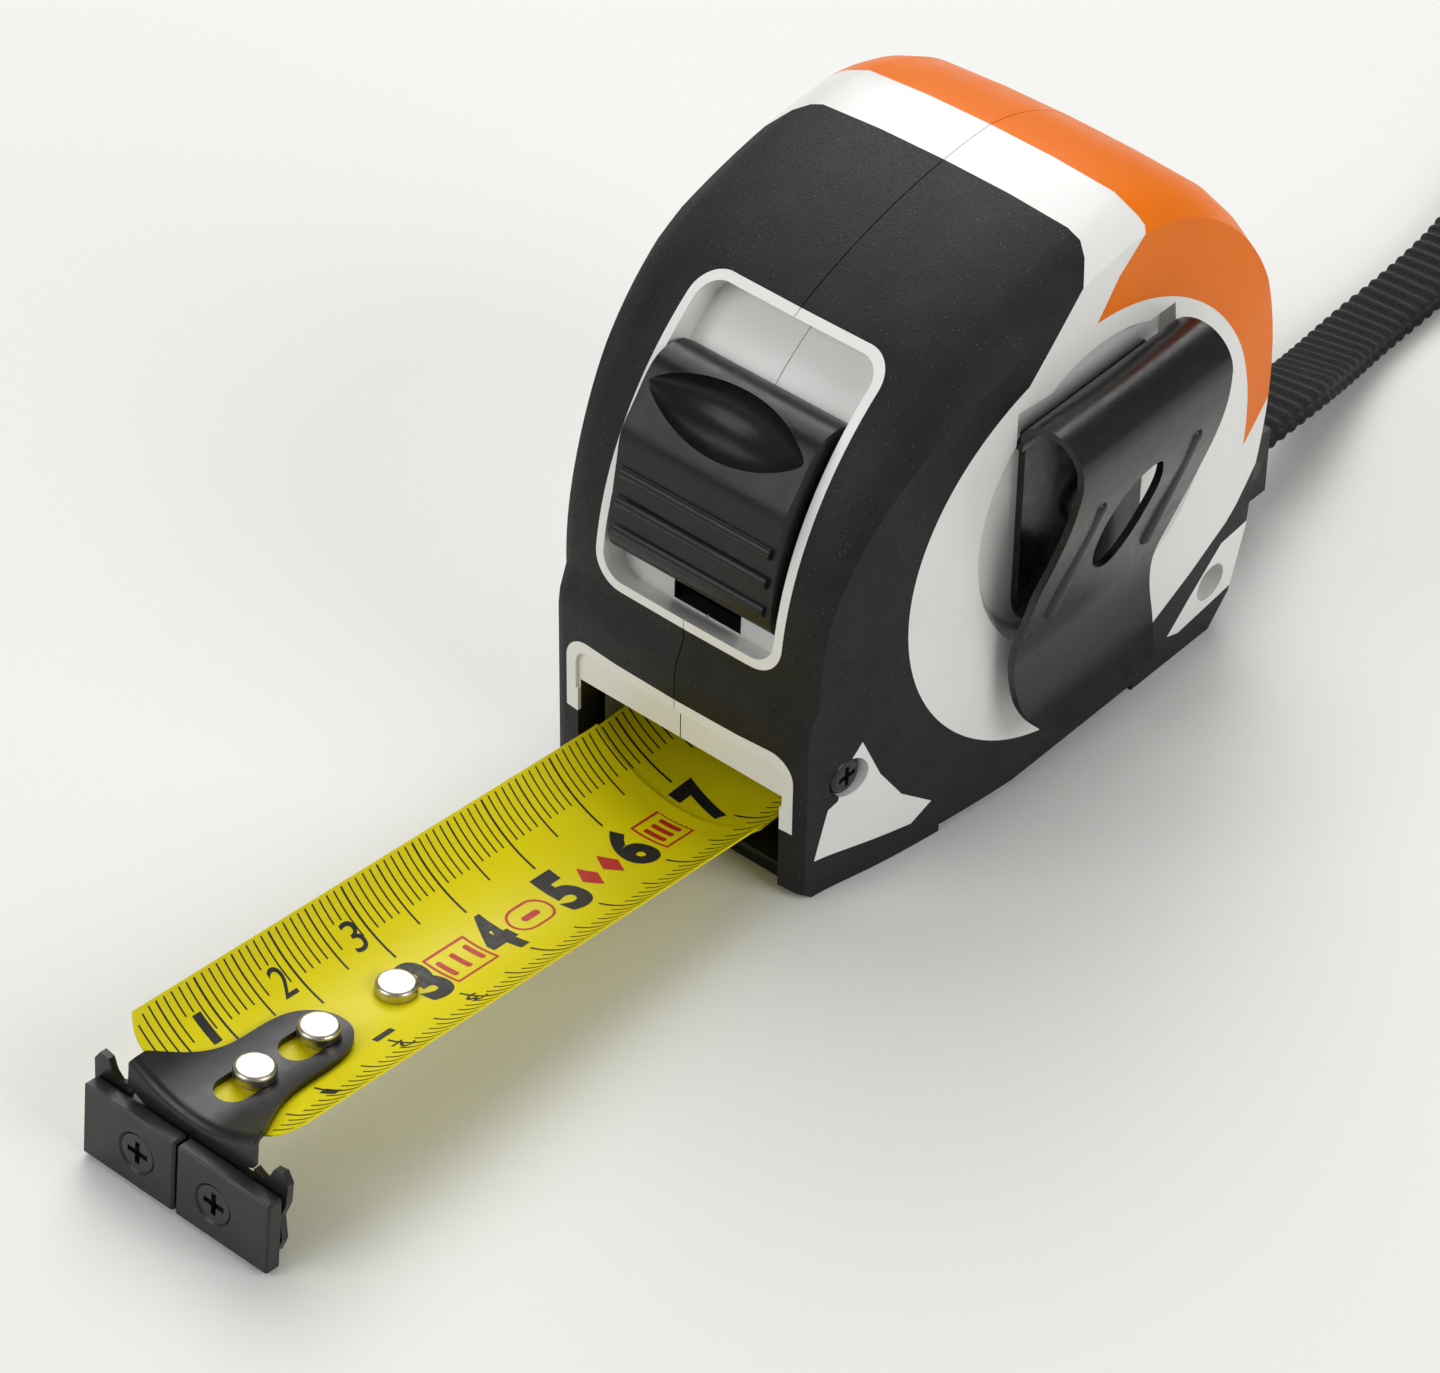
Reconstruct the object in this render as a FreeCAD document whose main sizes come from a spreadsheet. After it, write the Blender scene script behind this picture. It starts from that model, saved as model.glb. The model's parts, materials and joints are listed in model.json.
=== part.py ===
"""Pocket tape measure with a thumb lock, belt clip, magnetic end hook and wrist strap.

Frame (mm): +Z up, the case stands on its base at Z = 0, the blade leaves the case towards -Y,
the belt clip is on the +X side. The origin is the middle of the case's base.
"""
import FreeCAD, Part
import math
import os

V = FreeCAD.Vector
os.makedirs("parts", exist_ok=True)
doc = FreeCAD.newDocument("TapeMeasure")

# ---------------------------------------------------------------- driving dimensions (mm, degrees)
SIZES = [
    ("case_front", -34.5, "front face of the mouth block"),
    ("base_rear", 28.5, "rear end of the base"),
    ("shape_cy", 2.0, "centre of the round back, Y"),
    ("shape_cz", 26.0, "centre of the round back, Z"),
    ("brow_radius", 35.2, "radius of the sloping front above the mouth"),
    ("skin", 1.2, "thickness of the rubber and coloured skins"),
    ("wall", 2.0, "thickness of the plastic under the skin"),
    ("foot_rise", 0.85, "height of the hollow between the feet"),
    ("frame_half", 14.9, "half width of the mouth frame"),
    ("frame_low", 8.4, "lower end of the mouth frame"),
    ("frame_top", 17.9, "top of the mouth frame"),
    ("mouth_half", 13.3, "half width of the mouth"),
    ("mouth_low", 1.9, "floor of the mouth"),
    ("mouth_high", 12.3, "lintel of the mouth"),
    ("window_half", 12.0, "half width of the lock window frame"),
    ("window_len", 34.2, "length of the lock window frame"),
    ("window_rim", 1.0, "width of the window's white rim"),
    ("track_radius", 31.6, "radius of the lock's curved floor"),
    ("reel_cy", 3.0, "reel centre, Y"),
    ("reel_cz", 32.0, "reel centre, Z"),
    ("coil_radius", 19.3, "outside of the wound blade"),
    ("drum_radius", 12.5, "outside of the drum"),
    ("blade_width", 25.0, "developed width of the blade"),
    ("cup_radius", 15.0, "radius of the blade's cupped section"),
    ("blade_thick", 0.16, "blade with its coating"),
    ("blade_out", 66.5, "hook zero to the mouth"),
    ("blade_tilt", 6.2, "rise of the drawn blade, degrees"),
    ("mouth_blade_z", 7.6, "blade edges at the mouth"),
    ("hook_thick", 0.8, "hook plate"),
    ("magnet_w", 12.0, "magnet block width"),
    ("magnet_t", 1.9, "magnet block thickness"),
    ("magnet_h", 8.5, "magnet block height"),
    ("clip_width", 25.8, "belt clip width at its widest"),
    ("clip_front", -10.2, "front edge of the clip"),
    ("clip_sheet", 0.8, "belt clip sheet"),
    ("clip_bend_r", 4.2, "outside radius of the clip's rolled top"),
    ("clip_bend_x", 24.65, "rolled top centre, X"),
    ("clip_bend_z", 44.6, "rolled top centre, Z"),
    ("screw_head_r", 2.1, "case screw head"),
    ("strap_width", 8.0, "strap webbing"),
    ("pin_radius", 1.25, "strap pin"),
]
sheet = doc.addObject("Spreadsheet::Sheet", "Sizes")
D = {}
for row, (alias, value, note) in enumerate(SIZES, start=1):
    sheet.set(f"A{row}", alias)
    sheet.set(f"B{row}", str(value))
    sheet.set(f"C{row}", note)
    sheet.setAlias(f"B{row}", alias)
    D[alias] = value
doc.recompute()
for alias in D:
    D[alias] = float(sheet.get(alias))

CUP_HALF = D["blade_width"] / 2 / D["cup_radius"]          # half angle of the cupped section, radians
CUP_DEPTH = D["cup_radius"] * (1 - math.cos(CUP_HALF))
CHORD_HALF = D["cup_radius"] * math.sin(CUP_HALF)
NODES = []


def keep(obj, label):
    """Register a finished sub-part under its node name."""
    obj.Label = label
    NODES.append(obj)
    return obj


def feature(label, shape, placement=None):
    """A sub-part whose shape is made directly from Part functions."""
    obj = doc.addObject("Part::Feature", label)
    obj.Shape = shape
    if placement is not None:
        obj.Placement = placement
    return keep(obj, label)


def box(x0, x1, y0, y1, z0, z1):
    return Part.makeBox(x1 - x0, y1 - y0, z1 - z0, V(x0, y0, z0))


def xcyl(radius, x0, x1, y, z):
    """Cylinder along X between x0 and x1."""
    return Part.makeCylinder(radius, x1 - x0, V(x0, y, z), V(1, 0, 0))


def prism_x(points, x0, x1):
    """Closed (y, z) polygon swept along X."""
    pts = [V(x0, y, z) for y, z in points]
    face = Part.Face(Part.makePolygon(pts + pts[:1]))
    return face.extrude(V(x1 - x0, 0, 0))


def prism_y(points, y0, y1):
    """Closed (x, z) polygon swept along Y."""
    pts = [V(x, y0, z) for x, z in points]
    face = Part.Face(Part.makePolygon(pts + pts[:1]))
    return face.extrude(V(0, y1 - y0, 0))


def mirrored(shape):
    return shape.mirror(V(0, 0, 0), V(1, 0, 0))


def round_edges(shape, radius, test):
    """Fillet the straight or curved edges that the test picks, if they can be rounded."""
    edges = [e for e in shape.Edges if test(e)]
    return shape.makeFillet(radius, edges) if edges else shape


def solid_of(shape):
    """The shape's single solid, or the compound when there are several."""
    return shape.Solids[0] if len(shape.Solids) == 1 else shape


# ---------------------------------------------------------------- case envelope
CY, CZ = D["shape_cy"], D["shape_cz"]
SPARE = 0.5                                    # depth below the base that is trimmed off flat


def side_profile(x, draw, rear_draw, base):
    """Side outline of the case at one X: front and top drawn in by draw, back by rear_draw, base at base."""
    def inward(y, z, amount):
        r = math.hypot(y - CY, z - CZ)
        k = (r - amount) / r
        return V(x, CY + (y - CY) * k, CZ + (z - CZ) * k)

    def on_brow(angle):
        a = math.radians(angle)
        r = D["brow_radius"] - draw
        return V(x, CY + r * math.cos(a), CZ + r * math.sin(a))

    front = D["case_front"] + draw
    knee_in = on_brow(181.95)
    shoulder = on_brow(120.9)
    peak = inward(12.0, 62.4, draw)
    back_draw = (draw + rear_draw) / 2
    nape = inward(33.3, 43.5, rear_draw)
    heel_top = V(x, 33.9 - rear_draw, 19.0)
    chain = [
        V(x, front + 0.9, base - SPARE), V(x, front + 0.9, base), V(x, front, base + 0.9), V(x, front, 20.6),
        V(x, front + 0.25, 22.4), knee_in,
    ]
    edges = [Part.LineSegment(a, b).toShape() for a, b in zip(chain, chain[1:])]
    edges.append(Part.Arc(knee_in, on_brow(151.4), shoulder).toShape())
    edges.append(Part.Arc(shoulder, inward(-1.5, 61.0, draw), peak).toShape())
    edges.append(Part.Arc(peak, inward(25.5, 56.3, back_draw), nape).toShape())
    edges.append(Part.Arc(nape, inward(35.4, 31.0, rear_draw), heel_top).toShape())
    rear = D["base_rear"] - rear_draw
    tail = [
        heel_top, V(x, 33.2 - rear_draw, 12.0), V(x, 31.4 - rear_draw, 3.6), V(x, rear, base),
        V(x, rear, base - SPARE), chain[0],
    ]
    edges += [Part.LineSegment(a, b).toShape() for a, b in zip(tail, tail[1:])]
    return Part.Wire(edges)


# Crown of the case: distance from the middle, then how far the front and top are drawn in there, and
# how far the back is.
CROWN = [(0.0, 0.0, 0.0), (8.0, 0.15, 0.1), (15.4, 0.7, 0.3), (18.4, 2.1, 0.8), (23.0, 5.6, 2.6)]
PLAN_SIDE = [(16.35, -36.0), (16.35, -33.4), (17.9, -26.0), (19.6, -17.0), (20.9, -7.0), (21.6, 4.0),
             (21.9, 14.0), (22.0, 24.0), (21.6, 31.0), (20.8, 38.0)]
FRONT_SIDE = [(20.8, -2.0), (21.4, 8.0), (21.9, 20.0), (22.0, 32.0), (21.6, 44.0), (20.5, 55.0), (19.3, 64.0)]


def side_limit(points, drawn_in, swept):
    """Region between the middle plane and a smooth side line, swept along Z (plan) or Y (front view)."""
    if swept == "z":
        knots = [V(x - drawn_in, y, -3) for x, y in points]
        corners = [V(-1, points[-1][1], -3), V(-1, points[0][1], -3)]
        run = V(0, 0, 72)
    else:
        knots = [V(x - drawn_in, -45, z) for x, z in points]
        corners = [V(-1, -45, points[-1][1]), V(-1, -45, points[0][1])]
        run = V(0, 90, 0)
    spline = Part.BSplineCurve()
    spline.interpolate(knots)
    lines = [knots[-1]] + corners + [knots[0]]
    edges = [spline.toShape()] + [Part.LineSegment(a, b).toShape() for a, b in zip(lines, lines[1:])]
    return Part.Face(Part.Wire(edges)).extrude(run)


def half_envelope(inset, base):
    """Right half of the case's outer form, drawn in by inset all round."""
    wires = [side_profile(x, draw + inset, rear_draw + inset, base) for x, draw, rear_draw in CROWN]
    body = Part.makeLoft(wires, True, True).cut(box(-1, 40, -60, 60, base - 5, base))
    body = body.common(side_limit(PLAN_SIDE, inset, "z"))
    body = body.common(side_limit(FRONT_SIDE, inset, "y"))
    return solid_of(body)


outer = half_envelope(0.0, 0.0)
under_skin = half_envelope(D["skin"], D["skin"])
cavity = half_envelope(D["skin"] + D["wall"], D["mouth_low"])
arch = box(12.5, 30, -16.4, 13.6, -1, D["foot_rise"])

# ---------------------------------------------------------------- colour zones, as seen from the side
DISC = (3.0, 29.3, 24.6)       # white disc on the side: centre Y, centre Z, radius
SWOOSH = (3.0, 27.0, 26.2)     # inner arc of the orange cover
disc = xcyl(DISC[2], -1, 30, DISC[0], DISC[1])
black_zone = prism_x(
    [(-60, -10), (-60, 80), (5.0, 80), (5.0, 60.6), (-3.5, 54.3), (-14.5, 46.3), (DISC[0], DISC[1]),
     (13.0, 6.4), (21.7, 11.1), (27.2, 14.6), (32.2, 19.6), (60, 19.6), (60, -10)], -1, 30).cut(disc)
orange_zone = prism_x(
    [(12.2, 80), (12.2, 59.6), (7.2, 56.6), (2.9, 52.6), (SWOOSH[0], SWOOSH[1]), (28.4, 23.2), (36.2, 29.6),
     (60, 29.6), (60, 80)], -1, 30).cut(xcyl(SWOOSH[2], -1, 30, SWOOSH[0], SWOOSH[1]))
front_patch = prism_x([(-26.7, 17.6), (-24.4, 12.2), (-21.6, 8.0), (-17.6, 4.8), (-20.2, 3.2), (-32.2, 4.7),
                       (-30.6, 10.6), (-29.4, 11.2), (-28.4, 15.2)], 9, 30)
rear_patch = prism_x([(19.0, 3.9), (22.5, 7.6), (26.9, 11.9), (36.0, 12.9), (36.0, 5.2), (21.0, 3.2)], 9, 30)

# ---------------------------------------------------------------- mouth and lock window
def arch_prism(half, low, high, radius, y0, y1):
    """Upright opening with two rounded top corners, swept along Y."""
    body = box(-half, half, y0, y1, low, high)
    return round_edges(body, radius, lambda e: abs(e.BoundBox.YLength - (y1 - y0)) < 1e-6
                       and e.BoundBox.ZMin > high - 1e-6)


CHORD_MID = V(0, -24.55, 41.0)                     # middle of the window on the sloping front
CHORD_TILT = math.degrees(math.atan2(29.6, 16.3))  # direction of the window's long side from +Y


def window_prism(half, length, radius, depth_in, depth_out):
    """Rounded rectangle across the sloping front, swept along the front's normal."""
    body = Part.makeBox(2 * half, length, depth_in + depth_out, V(-half, -length / 2, -depth_in))
    body = round_edges(body, radius, lambda e: abs(e.BoundBox.ZLength - (depth_in + depth_out)) < 1e-6)
    body.Placement = FreeCAD.Placement(CHORD_MID, FreeCAD.Rotation(V(1, 0, 0), CHORD_TILT))
    return body


frame_cut = arch_prism(D["frame_half"], D["frame_low"], D["frame_top"], 3.0, -40, -28)
lintel_recess = arch_prism(D["frame_half"] - 1.3, D["mouth_high"] - 1, D["frame_top"] - 1.3, 1.9, -40,
                           D["case_front"] + 1.0)
mouth = box(-D["mouth_half"], D["mouth_half"], -40, -24.0, D["mouth_low"], D["mouth_high"])
lip_recess = box(-D["mouth_half"], D["mouth_half"], -40, D["case_front"] + 2.2, -1, D["mouth_low"] + 0.2)
window_outer = window_prism(D["window_half"], D["window_len"], 3.4, 9, 12)
rim = D["window_rim"]
window_inner = window_prism(D["window_half"] - rim, D["window_len"] - 2 * rim, 2.6, 12, 14)
track = xcyl(D["track_radius"], -30, 30, CY, CZ)
window_recess = window_inner.cut(track)


def sector(r0, r1, a0, a1, half):
    """Ring sector about the curved track's centre, angles in degrees from +Y towards +Z."""
    ring = xcyl(r1, -half, half, CY, CZ).cut(xcyl(r0, -half - 1, half + 1, CY, CZ))
    rays = [(CY, CZ)]
    for k in range(9):
        a = math.radians(a0 + (a1 - a0) * k / 8)
        rays.append((CY + 2 * r1 * math.cos(a), CZ + 2 * r1 * math.sin(a)))
    return ring.common(prism_x(rays, -half - 1, half + 1))


TONGUE_HALF = 4.3
slot_cut = sector(24.0, D["track_radius"] + 0.1, 145.5, 180.6, TONGUE_HALF)

# ---------------------------------------------------------------- shells, grips and covers
LUG = (3.0, 14.4, 31.2, 46.4, 4.2, 12.6)      # strap lug: X, Y and Z limits
FRONT_SCREW = (-28.2, 13.7)
REAR_SCREW = (25.8, 7.2)
CLIP_DISH = (4.0, 33.2, 16.8)
DISH_FLOOR = 19.4
SPINDLE_R = 3.0
SPINDLE_HALF = 17.9
CLIP_SCREW_R = 1.25


def screw_recess(y, z, radius, depth_x):
    return xcyl(radius, depth_x, 30, y, z)


front_recess = screw_recess(*FRONT_SCREW, D["screw_head_r"] + 0.2, 15.6)
rear_recess = screw_recess(*REAR_SCREW, D["screw_head_r"] + 0.1, 14.6)
dish = Part.makeCone(CLIP_DISH[2] - 0.8, CLIP_DISH[2] + 2.0, 2.8, V(DISH_FLOOR, CLIP_DISH[0], CLIP_DISH[1]),
                     V(1, 0, 0))
plate_seat = box(DISH_FLOOR, 30, -8.4, 15.8, 36.0, 49.2)
reel_socket = xcyl(SPINDLE_R + 0.04, 15, SPINDLE_HALF + 0.05, D["reel_cy"], D["reel_cz"])
clip_screw_hole = xcyl(CLIP_SCREW_R + 0.08, 15, 30, D["reel_cy"], D["reel_cz"])
shoe_guide = box(4.15, 5.75, -28.6, -17.4, 26.2, 33.8)
lug_seat = box(LUG[0], LUG[1], 31.2, 50, LUG[4], LUG[5])
tail_room = box(-11.7, 11.7, 20, 30.3, 5.4, 12.0)
floor_plate = sector(29.9, D["track_radius"] + 3.0, 116.0, 181.5, 13.2)
cutters = [mouth, lintel_recess, lip_recess, window_recess, slot_cut, arch]

SEAM, SEAM_DEEP = 0.06, 0.25                   # half width and depth of the parting line between the halves
mid_slice = box(-1, SEAM, -60, 60, 3, 80)
seam = outer.cut(half_envelope(SEAM_DEEP, SEAM_DEEP))
seam = seam.fuse(sector(D["track_radius"] - SEAM_DEEP, D["track_radius"] + 0.1, 116.0, 181.5, 2))
seam = seam.fuse(box(0, 1, D["case_front"], D["case_front"] + 1.0 + SEAM_DEEP, D["mouth_high"], 17))
seam = seam.common(mid_slice)

skin = outer.cut(under_skin).cut(seam)
grip_zone = black_zone.cut(front_patch).cut(rear_patch)
grip = skin.common(grip_zone).cut(frame_cut).cut(window_outer)
for cutter in (mouth, lip_recess, arch):
    grip = grip.cut(cutter)
left_grip = mirrored(grip)
grip = grip.cut(front_recess).cut(lug_seat)
cover = skin.common(orange_zone)

shell = outer.cut(mirrored(left_grip)).cut(cover).cut(cavity)
lintel_block = box(0, 14.6, D["case_front"] + 1.0, -26.5, D["mouth_high"], 17.6)
rear_boss = xcyl(3.6, 12.0, 19.5, *REAR_SCREW).common(outer).cut(mirrored(left_grip))
half_space = box(0, 40, -60, 60, -5, 80)
for inner_piece in (lintel_block, floor_plate.common(half_space), shoe_guide):
    shell = shell.fuse(inner_piece.common(under_skin))
for cutter in cutters + [tail_room, reel_socket, seam]:
    shell = shell.cut(cutter)
left_shell = mirrored(shell)
right_shell = shell.fuse(rear_boss)
for cutter in (dish, plate_seat, clip_screw_hole, lug_seat):
    right_shell = right_shell.cut(cutter)
for recess in (front_recess, rear_recess):
    right_shell = right_shell.cut(recess)
right_shell = right_shell.cut(xcyl(1.3, -1, 20, *FRONT_SCREW)).cut(xcyl(1.3, 11, 20, *REAR_SCREW))
left_shell = left_shell.cut(xcyl(1.3, -9.5, 1, *FRONT_SCREW))
feature("case_half_right", solid_of(right_shell))
feature("case_half_left", solid_of(left_shell))
feature("grip_right", solid_of(grip))
feature("grip_left", solid_of(left_grip))
feature("cover_right", solid_of(cover))
feature("cover_left", solid_of(mirrored(cover)))


# ---------------------------------------------------------------- blade, root and inner run
HINGE = V(0, D["case_front"], D["mouth_blade_z"])
DRAWN = FreeCAD.Placement(HINGE, FreeCAD.Rotation(V(1, 0, 0), -D["blade_tilt"]))
LEVEL = FreeCAD.Placement(HINGE, FreeCAD.Rotation())
CUP_AXIS_H = D["cup_radius"] - CUP_DEPTH           # cup axis above the blade's edges
HALF_DEG = math.degrees(CUP_HALF)
TIP = -D["blade_out"] + 1.0                        # blade's free end along the blade
RIVETS = (7.3, 15.9, 26.6)                         # distances from the hook's zero
RIVET_SHANK = 1.35


def cupped(r_in, r_out, y0, y1, half_deg=HALF_DEG):
    """Strip of a tube about the cup axis, level, with its edges at H = 0 when r_in is the cup radius."""
    start = V(0, y0, CUP_AXIS_H)
    tube = Part.makeCylinder(r_out, y1 - y0, start, V(0, 1, 0)).cut(
        Part.makeCylinder(r_in, y1 - y0, start, V(0, 1, 0)))
    reach = 2 * r_out
    a = math.radians(half_deg)
    side, low = reach * math.sin(a), CUP_AXIS_H - reach * math.cos(a)
    wedge = prism_y([(0, CUP_AXIS_H), (side, low), (0, CUP_AXIS_H - 2 * reach), (-side, low)], y0, y1)
    return solid_of(tube.common(wedge))


def at_hook(k):
    """Coordinate along the blade of the scale mark k millimetres from the hook's zero."""
    return k - D["blade_out"]


def rounded_plan(half, y0, y1, radius, h0=-9, h1=6):
    """Plan-view prism with its two corners at y0 rounded."""
    body = box(-half, half, y0, y1, h0, h1)
    return round_edges(body, radius, lambda e: abs(e.BoundBox.ZLength - (h1 - h0)) < 1e-6
                       and e.BoundBox.YMax < y0 + 1e-6)


R, T = D["cup_radius"], D["blade_thick"]
blade = cupped(R, R + T, TIP, 0.0).common(rounded_plan(CHORD_HALF + 1, TIP, 1, 3.6))
for k in RIVETS:
    blade = blade.cut(Part.makeCylinder(RIVET_SHANK, 8, V(0, at_hook(k), -9)))
feature("blade", solid_of(blade), DRAWN)
feature("blade_root", cupped(R, R + T, 0.04, 1.0), LEVEL)
RUN_DROP = 0.4
feature("blade_inner_run", cupped(R, R + T, 0.3, 58.0),
        FreeCAD.Placement(HINGE - V(0, 0, RUN_DROP), FreeCAD.Rotation()))
under_plate = cupped(R + T + 0.02, R + T + 0.5, at_hook(4.0), at_hook(31.0), 17.0)
for k in RIVETS:
    under_plate = under_plate.cut(Part.makeCylinder(RIVET_SHANK, 8, V(0, at_hook(k), -9)))
feature("blade_under_plate", solid_of(under_plate), DRAWN)

# ---------------------------------------------------------------- end hook, rivets and magnets
HOOK_IN = at_hook(-0.35)                           # hook's inner face
HOOK_OUT = HOOK_IN - D["hook_thick"]
R_TOP = R - 0.05                                   # underside of the hook's top plate
R_FACE = R_TOP - D["hook_thick"]
BEND = 0.35


def hook_top():
    """Cupped top plate with a quarter bend down to the face, turned about the cup axis."""
    a = CUP_AXIS_H
    end = at_hook(20.0)
    mid = math.sqrt(0.5)
    c_y, c_r = HOOK_IN + BEND, R_TOP + BEND
    ro = BEND + D["hook_thick"]

    def p(y, r):
        return V(0, y, a - r)
    edges = [
        Part.LineSegment(p(end, R_FACE), p(c_y, R_FACE)).toShape(),
        Part.Arc(p(c_y, R_FACE), p(c_y - ro * mid, c_r - ro * mid), p(HOOK_OUT, c_r)).toShape(),
        Part.LineSegment(p(HOOK_OUT, c_r), p(HOOK_OUT, R_TOP + 2.4)).toShape(),
        Part.LineSegment(p(HOOK_OUT, R_TOP + 2.4), p(HOOK_IN, R_TOP + 2.4)).toShape(),
        Part.LineSegment(p(HOOK_IN, R_TOP + 2.4), p(HOOK_IN, c_r)).toShape(),
        Part.Arc(p(HOOK_IN, c_r), p(c_y - BEND * mid, c_r - BEND * mid), p(c_y, R_TOP)).toShape(),
        Part.LineSegment(p(c_y, R_TOP), p(end, R_TOP)).toShape(),
        Part.LineSegment(p(end, R_TOP), p(end, R_FACE)).toShape(),
    ]
    face = Part.Face(Part.Wire(edges))
    face.rotate(V(0, 0, a), V(0, 1, 0), -33)
    return face.revolve(V(0, 0, a), V(0, 1, 0), 66)


def spline_prism(half_points, h0, h1):
    """Plan outline, symmetric about the middle plane, through smooth half-width points (x, y)."""
    right = [V(x, y, h0) for x, y in half_points]
    left = [V(-x, y, h0) for x, y in reversed(half_points)]
    curve = Part.BSplineCurve()
    curve.interpolate(right + left)
    face = Part.Face(Part.Wire([curve.toShape(), Part.LineSegment(left[-1], right[0]).toShape()]))
    return face.extrude(V(0, 0, h1 - h0))


# Half width of the hook's top plate at each distance from the hook's zero.
HOOK_PLAN = [(8.2, -2.0), (7.6, 0.8), (6.6, 2.6), (5.3, 5.0), (4.4, 7.8), (4.2, 11.0), (4.1, 14.0),
             (3.7, 16.0), (2.6, 18.0), (1.2, 19.1)]
bottle = [(x, at_hook(k)) for x, k in HOOK_PLAN]
hook = hook_top().common(spline_prism(bottle, -12, 6))
face_points = [(12.6, -4.6), (11.9, -3.5), (10.8, -3.7), (10.2, -5.0), (9.4, -5.7), (8.3, -5.2), (8.0, -6.5)]
face_outline = face_points + [(-x, h) for x, h in reversed(face_points)]
face_outline += [(-12.5, -7.0), (-11.8, -9.0), (-12.2, -11.6), (-11.6, -13.3), (-9.5, -13.6), (-7.0, -12.8),
                 (7.0, -12.8), (9.5, -13.6), (11.6, -13.3), (12.2, -11.6), (11.8, -9.0), (12.5, -7.0)]
hook_face = prism_y(face_outline, HOOK_OUT, HOOK_IN)
MAGNET_SCREW_X, MAGNET_SCREW_H = 5.0, -10.6
hook = hook.fuse(hook_face)
for k in RIVETS[:2]:
    slot = box(-1.85, 1.85, at_hook(k - 2.9), at_hook(k), -8, 2).fuse(
        Part.makeCylinder(1.85, 10, V(0, at_hook(k - 2.9), -8))).fuse(
        Part.makeCylinder(1.85, 10, V(0, at_hook(k), -8)))
    hook = hook.cut(slot)
for side in (-1, 1):
    hole_start = V(side * MAGNET_SCREW_X, HOOK_OUT - 2, MAGNET_SCREW_H)
    hook = hook.cut(Part.makeCylinder(1.1, 6, hole_start, V(0, 1, 0)))
feature("end_hook", solid_of(hook), DRAWN)


def countersunk(x, h, y_front, radius, depth, shank, length):
    """Countersunk screw form pointing along +Y from its flat head at y_front."""
    cone = Part.makeCone(radius, shank, depth, V(x, y_front, h), V(0, 1, 0))
    return cone.fuse(Part.makeCylinder(shank, length, V(x, y_front, h), V(0, 1, 0)))


def cross_slot(centre, normal, radius, depth):
    """Four-armed screwdriver recess of the given reach, sunk against the normal."""
    n = normal
    u = V(0, 0, 1) if abs(n.z) < 0.5 else V(0, 1, 0)
    w = n.cross(u)
    shapes = []
    for a, b in ((u, w), (w, u)):
        corner = centre - a * radius - b * (radius * 0.24) + n * 0.2
        along, across = a * 2 * radius, b * (radius * 0.48)
        wire = Part.makePolygon([corner, corner + along, corner + along + across, corner + across, corner])
        shapes.append(Part.Face(wire).extrude(n * -(depth + 0.2)))
    return shapes[0].fuse(shapes[1])


MAGNET_FRONT = HOOK_OUT - D["magnet_t"]
MAGNET_TOP = -6.3
screws = []
for side, label in ((-1, "hook_magnet_left"), (1, "hook_magnet_right")):
    x0, x1 = (0.15, 0.15 + D["magnet_w"]) if side > 0 else (-0.15 - D["magnet_w"], -0.15)
    block = doc.addObject("Part::Box", label + "_block")
    block.setExpression("Length", "Sizes.magnet_w")
    block.setExpression("Width", "Sizes.magnet_t")
    block.setExpression("Height", "Sizes.magnet_h")
    block.Placement = FreeCAD.Placement(V(x0, MAGNET_FRONT, MAGNET_TOP - D["magnet_h"]), FreeCAD.Rotation())
    doc.recompute()
    chamfered = block.Shape.makeChamfer(0.25, block.Shape.Edges)
    hole = countersunk(side * MAGNET_SCREW_X, MAGNET_SCREW_H, MAGNET_FRONT - 0.01, 2.35, 1.25, 1.1, 5)
    feature(label, solid_of(chamfered.cut(hole)), DRAWN)
    head_face = V(side * MAGNET_SCREW_X, MAGNET_FRONT + 0.15, MAGNET_SCREW_H)
    head = Part.makeCone(2.05, 0.95, 1.15, head_face, V(0, 1, 0))
    shank = Part.makeCylinder(0.95, D["magnet_t"] + D["hook_thick"] - 0.15, head_face, V(0, 1, 0))
    mark = cross_slot(head_face, V(0, -1, 0), 1.3, 0.7)
    screws.append(solid_of(head.fuse(shank).cut(mark)))
feature("magnet_screws", Part.makeCompound(screws), DRAWN)

RIVET_HEAD, RIVET_TAIL, RIVET_RISE = 2.15, 1.9, 1.1
tail_low = CUP_AXIS_H - (R + T + 0.5) - 0.45
rivet_solids = []
for k in RIVETS:
    y = at_hook(k)
    seat = CUP_AXIS_H - (R_FACE if k < 20 else R) + 0.24
    head = Part.makeCylinder(RIVET_HEAD, RIVET_RISE, V(0, y, seat))
    head = round_edges(head, 0.5, lambda e: e.BoundBox.ZMin > seat + RIVET_RISE - 1e-6)
    shank = Part.makeCylinder(RIVET_SHANK, seat - tail_low + 0.1, V(0, y, tail_low))
    tail = Part.makeCylinder(RIVET_TAIL, 0.41, V(0, y, tail_low))
    rivet_solids.append(solid_of(head.fuse(shank).fuse(tail)))
feature("blade_rivets", Part.makeCompound(rivet_solids), DRAWN)

# ---------------------------------------------------------------- reel
RY, RZ = D["reel_cy"], D["reel_cz"]


def origin_plane(body, role):
    return [f for f in body.Origin.OriginFeatures if f.Role == role][0]


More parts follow.
